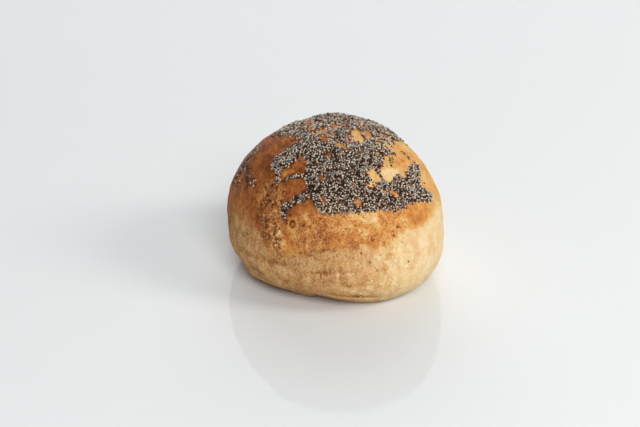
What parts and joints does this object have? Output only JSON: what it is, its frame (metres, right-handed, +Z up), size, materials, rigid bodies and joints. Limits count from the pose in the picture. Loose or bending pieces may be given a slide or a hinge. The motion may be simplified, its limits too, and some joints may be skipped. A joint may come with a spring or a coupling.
{
  "type": "poppy seed bread roll",
  "caption": "Round, domed bread roll with a browned top strewn with poppy seeds, pale lower sides and a flat baked foot.",
  "frame": {"origin": "middle of the roll's footprint, on the surface it stands on", "axes": "+Z up; the front faces -Y, the roll's right side as seen from the front is +X"},
  "size_m": [0.0882, 0.0922, 0.062],
  "materials": {
    "crust": "baked crust: browned and faintly glossy on top, pale, dry and floury low on the sides",
    "poppy_seed": "dry poppy seed: blue-grey to near black, pitted and dull"
  },
  "bodies": {
    "root": {"roll": "crust"}
  },
  "joints": []
}
